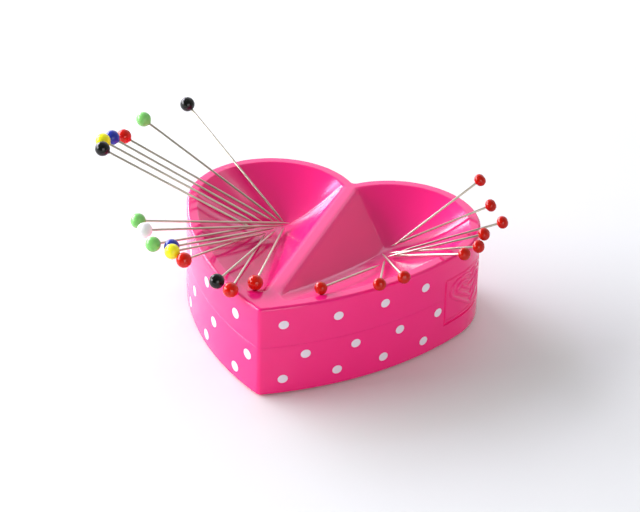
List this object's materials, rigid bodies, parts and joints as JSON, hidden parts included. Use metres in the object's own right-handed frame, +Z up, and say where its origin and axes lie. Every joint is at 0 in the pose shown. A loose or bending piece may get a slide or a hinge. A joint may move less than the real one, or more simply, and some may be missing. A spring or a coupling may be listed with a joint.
{
  "type": "magnetic pin cushion",
  "caption": "Heart-shaped magnetic pin dish with two funnel bowls over hidden magnets, a base pad, and loose round-head sewing pins fanned out over both bowls.",
  "frame": {"origin": "on the surface it stands on, under the middle of the heart's length and width", "axes": "+Z up; the heart's point is at -Y and its cleft at +Y; +X is the side of the bowl with the short pins"},
  "size_m": [0.1103, 0.081, 0.0423],
  "materials": {
    "case_pink": "glossy moulded",
    "magnet_ferrite": "matt sintered ferrite",
    "screw_steel": "zinc plated",
    "pad_rubber": "matt foamed rubber",
    "pin_steel": "polished nickel plated",
    "head_black": "opaque gloss",
    "head_green": "opaque gloss",
    "head_red": "opaque gloss",
    "head_blue": "opaque gloss",
    "head_yellow": "opaque gloss",
    "head_white": "opaque gloss",
    "head_orange_red": "gloss"
  },
  "bodies": {
    "holder": {"upper_shell": "case_pink", "lower_shell": "case_pink", "magnet_left": "magnet_ferrite", "magnet_right": "magnet_ferrite", "case_screws": "screw_steel", "non_slip_pad": "pad_rubber"},
    "pin_01": {"pin_01_shaft": "pin_steel", "pin_01_head": "head_black"},
    "pin_02": {"pin_02_shaft": "pin_steel", "pin_02_head": "head_green"},
    "pin_03": {"pin_03_shaft": "pin_steel", "pin_03_head": "head_red"},
    "pin_04": {"pin_04_shaft": "pin_steel", "pin_04_head": "head_blue"},
    "pin_05": {"pin_05_shaft": "pin_steel", "pin_05_head": "head_yellow"},
    "pin_06": {"pin_06_shaft": "pin_steel", "pin_06_head": "head_black"},
    "pin_07": {"pin_07_shaft": "pin_steel", "pin_07_head": "head_green"},
    "pin_08": {"pin_08_shaft": "pin_steel", "pin_08_head": "head_white"},
    "pin_09": {"pin_09_shaft": "pin_steel", "pin_09_head": "head_green"},
    "pin_10": {"pin_10_shaft": "pin_steel", "pin_10_head": "head_blue"},
    "pin_11": {"pin_11_shaft": "pin_steel", "pin_11_head": "head_yellow"},
    "pin_12": {"pin_12_shaft": "pin_steel", "pin_12_head": "head_red"},
    "pin_13": {"pin_13_shaft": "pin_steel", "pin_13_head": "head_black"},
    "pin_14": {"pin_14_shaft": "pin_steel", "pin_14_head": "head_red"},
    "pin_15": {"pin_15_shaft": "pin_steel", "pin_15_head": "head_red"},
    "pin_16": {"pin_16_shaft": "pin_steel", "pin_16_head": "head_orange_red"},
    "pin_17": {"pin_17_shaft": "pin_steel", "pin_17_head": "head_orange_red"},
    "pin_18": {"pin_18_shaft": "pin_steel", "pin_18_head": "head_orange_red"},
    "pin_19": {"pin_19_shaft": "pin_steel", "pin_19_head": "head_orange_red"},
    "pin_20": {"pin_20_shaft": "pin_steel", "pin_20_head": "head_orange_red"},
    "pin_21": {"pin_21_shaft": "pin_steel", "pin_21_head": "head_orange_red"},
    "pin_22": {"pin_22_shaft": "pin_steel", "pin_22_head": "head_orange_red"},
    "pin_23": {"pin_23_shaft": "pin_steel", "pin_23_head": "head_orange_red"},
    "pin_24": {"pin_24_shaft": "pin_steel", "pin_24_head": "head_orange_red"}
  },
  "joints": [
    {"name": "pin_01_pull", "type": "slide", "parent": "holder", "child": "pin_01", "axis": [-0.7931, 0.4672, 0.3907], "range_m": [0, 0.05]},
    {"name": "pin_02_pull", "type": "slide", "parent": "holder", "child": "pin_02", "axis": [-0.8776, 0.046, 0.4772], "range_m": [0, 0.05]},
    {"name": "pin_03_pull", "type": "slide", "parent": "holder", "child": "pin_03", "axis": [-0.9013, -0.0947, 0.4226], "range_m": [0, 0.05]},
    {"name": "pin_04_pull", "type": "slide", "parent": "holder", "child": "pin_04", "axis": [-0.8889, -0.1329, 0.4384], "range_m": [0, 0.05]},
    {"name": "pin_05_pull", "type": "slide", "parent": "holder", "child": "pin_05", "axis": [-0.8715, -0.1853, 0.454], "range_m": [0, 0.05]},
    {"name": "pin_06_pull", "type": "slide", "parent": "holder", "child": "pin_06", "axis": [-0.8682, -0.2004, 0.454], "range_m": [0, 0.05]},
    {"name": "pin_07_pull", "type": "slide", "parent": "holder", "child": "pin_07", "axis": [-0.6541, -0.7138, 0.2504], "range_m": [0, 0.05]},
    {"name": "pin_08_pull", "type": "slide", "parent": "holder", "child": "pin_08", "axis": [-0.5527, -0.7894, 0.2672], "range_m": [0, 0.05]},
    {"name": "pin_09_pull", "type": "slide", "parent": "holder", "child": "pin_09", "axis": [-0.3279, -0.901, 0.284], "range_m": [0, 0.05]},
    {"name": "pin_10_pull", "type": "slide", "parent": "holder", "child": "pin_10", "axis": [-0.2788, -0.912, 0.3007], "range_m": [0, 0.05]},
    {"name": "pin_11_pull", "type": "slide", "parent": "holder", "child": "pin_11", "axis": [-0.2127, -0.9213, 0.3256], "range_m": [0, 0.05]},
    {"name": "pin_12_pull", "type": "slide", "parent": "holder", "child": "pin_12", "axis": [-0.0744, -0.9454, 0.3173], "range_m": [0, 0.05]},
    {"name": "pin_13_pull", "type": "slide", "parent": "holder", "child": "pin_13", "axis": [0.0171, -0.9798, 0.1994], "range_m": [0, 0.05]},
    {"name": "pin_14_pull", "type": "slide", "parent": "holder", "child": "pin_14", "axis": [0.1617, -0.9665, 0.1994], "range_m": [0, 0.05]},
    {"name": "pin_15_pull", "type": "slide", "parent": "holder", "child": "pin_15", "axis": [0.187, -0.9619, 0.1994], "range_m": [0, 0.05]},
    {"name": "pin_16_pull", "type": "slide", "parent": "holder", "child": "pin_16", "axis": [0.645, 0.513, 0.5664], "range_m": [0, 0.034]},
    {"name": "pin_17_pull", "type": "slide", "parent": "holder", "child": "pin_17", "axis": [0.828, 0.3861, 0.4067], "range_m": [0, 0.034]},
    {"name": "pin_18_pull", "type": "slide", "parent": "holder", "child": "pin_18", "axis": [0.8969, 0.2071, 0.3907], "range_m": [0, 0.034]},
    {"name": "pin_19_pull", "type": "slide", "parent": "holder", "child": "pin_19", "axis": [0.9026, 0.0079, 0.4305], "range_m": [0, 0.034]},
    {"name": "pin_20_pull", "type": "slide", "parent": "holder", "child": "pin_20", "axis": [0.9052, -0.2007, 0.3746], "range_m": [0, 0.034]},
    {"name": "pin_21_pull", "type": "slide", "parent": "holder", "child": "pin_21", "axis": [0.8313, -0.3788, 0.4067], "range_m": [0, 0.034]},
    {"name": "pin_22_pull", "type": "slide", "parent": "holder", "child": "pin_22", "axis": [0.4755, -0.8236, 0.309], "range_m": [0, 0.034]},
    {"name": "pin_23_pull", "type": "slide", "parent": "holder", "child": "pin_23", "axis": [0.2542, -0.9165, 0.309], "range_m": [0, 0.034]},
    {"name": "pin_24_pull", "type": "slide", "parent": "holder", "child": "pin_24", "axis": [-0.2357, -0.9454, 0.225], "range_m": [0, 0.034]}
  ]
}
